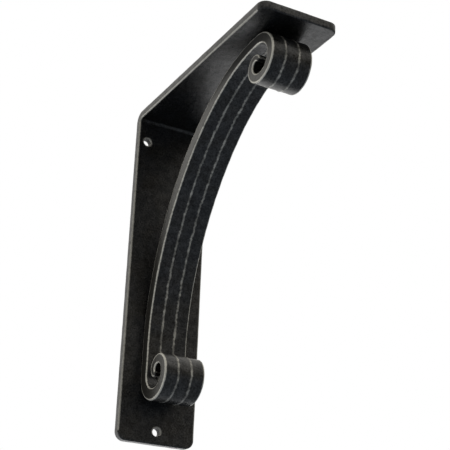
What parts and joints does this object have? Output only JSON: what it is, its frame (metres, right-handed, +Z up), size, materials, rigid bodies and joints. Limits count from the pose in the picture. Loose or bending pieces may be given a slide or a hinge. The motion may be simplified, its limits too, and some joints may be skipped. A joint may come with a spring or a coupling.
{
  "type": "wrought iron shelf bracket",
  "caption": "Right-angled flat-bar shelf bracket with a bowed scroll strap across its corner and screw holes in the wall leg.",
  "frame": {"origin": "on the back of the wall leg, on the bracket's middle line, halfway up its height, at mount wall_back", "axes": "+Z up along the wall leg, +Y into the wall, -Y out along the shelf leg, +X to the right as seen from the front"},
  "size_m": [0.0592, 0.1905, 0.254],
  "materials": {
    "bar_iron": "satin black wax over forged iron, rubbed to grey on the edges",
    "strap_iron": "satin black wax over forged iron, rubbed to grey on the edges and the raised lines"
  },
  "bodies": {
    "root": {"mounting_bar": "bar_iron", "scroll_strap": "strap_iron"}
  },
  "joints": []
}
